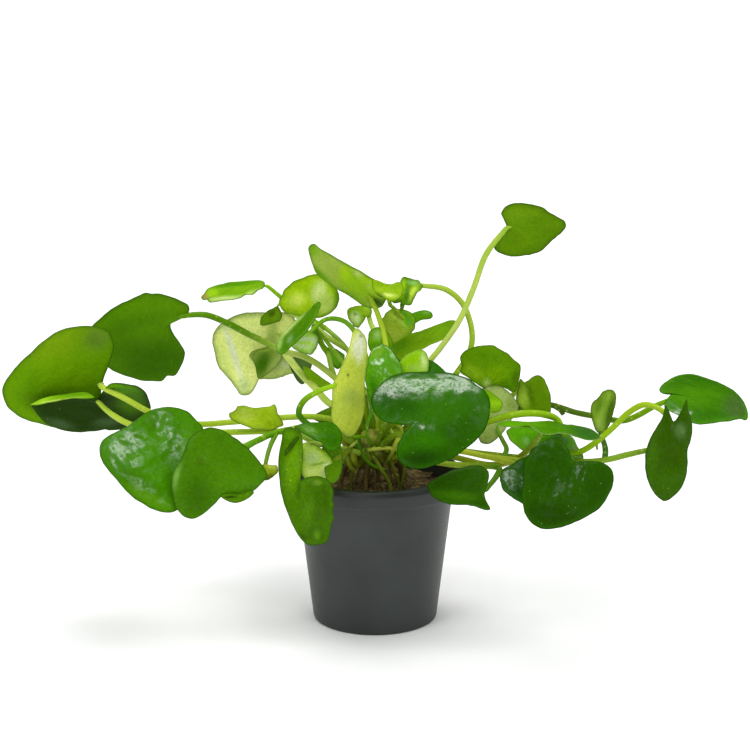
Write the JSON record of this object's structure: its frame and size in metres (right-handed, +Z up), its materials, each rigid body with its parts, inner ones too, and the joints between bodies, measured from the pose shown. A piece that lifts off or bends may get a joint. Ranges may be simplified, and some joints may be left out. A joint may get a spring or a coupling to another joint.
{
  "type": "potted water snowflake",
  "caption": "Floating-leaf pond plant with heart-shaped leaves on long curved stems, rising from a knobby crown in a small tapered pot.",
  "frame": {"origin": "centre of the pot's underside, on the surface that it stands on", "axes": "+Z up, the plant seen from -Y as in the picture, +X to the right in that view"},
  "size_m": [0.2375, 0.1173, 0.1358],
  "materials": {
    "leaf_fresh": "fresh green waxy leaf",
    "leaf_deep": "deep green waxy leaf",
    "leaf_olive": "olive green matt leaf",
    "leaf_pale": "pale silvery green underside",
    "leaf_lime": "thin yellow-green leaf",
    "stem": "smooth pale yellow-green stem",
    "crown": "knobby olive brown crown",
    "plug": "rough moist fibre growing medium",
    "pot": "dark satin plastic"
  },
  "bodies": {
    "root": {"leaf_01": "leaf_olive", "leaf_02": "leaf_olive", "leaf_03": "leaf_deep", "leaf_04": "leaf_fresh", "leaf_05": "leaf_deep", "leaf_06": "leaf_lime", "leaf_07": "leaf_fresh", "leaf_08": "leaf_lime", "leaf_09": "leaf_lime", "leaf_10": "leaf_fresh", "leaf_11": "leaf_pale", "leaf_12": "leaf_deep", "leaf_13": "leaf_fresh", "leaf_14": "leaf_pale", "leaf_15": "leaf_deep", "leaf_16": "leaf_pale", "leaf_17": "leaf_lime", "leaf_18": "leaf_pale", "leaf_19": "leaf_fresh", "leaf_20": "leaf_fresh", "leaf_21": "leaf_lime", "leaf_22": "leaf_deep", "leaf_23": "leaf_olive", "leaf_24": "leaf_olive", "leaf_25": "leaf_pale", "leaf_26": "leaf_lime", "leaf_27": "leaf_fresh", "leaf_28": "leaf_fresh", "leaf_29": "leaf_deep", "leaf_30": "leaf_deep", "leaf_31": "leaf_deep", "leaf_32": "leaf_olive", "leaf_33": "leaf_fresh", "leaf_34": "leaf_deep", "leaf_35": "leaf_deep", "leaf_36": "leaf_deep", "leaf_37": "leaf_pale", "leaf_38": "leaf_olive", "leaf_39": "leaf_deep", "leaf_40": "leaf_fresh", "leaf_41": "leaf_olive", "crown": "crown", "stem_01": "stem", "stem_02": "stem", "stem_03": "stem", "stem_04": "stem", "stem_05": "stem", "stem_06": "stem", "stem_07": "stem", "stem_08": "stem", "stem_09": "stem", "stem_10": "stem", "stem_11": "stem", "stem_12": "stem", "stem_13": "stem", "stem_14": "stem", "stem_15": "stem", "pot": "pot", "plug": "plug"}
  },
  "joints": []
}
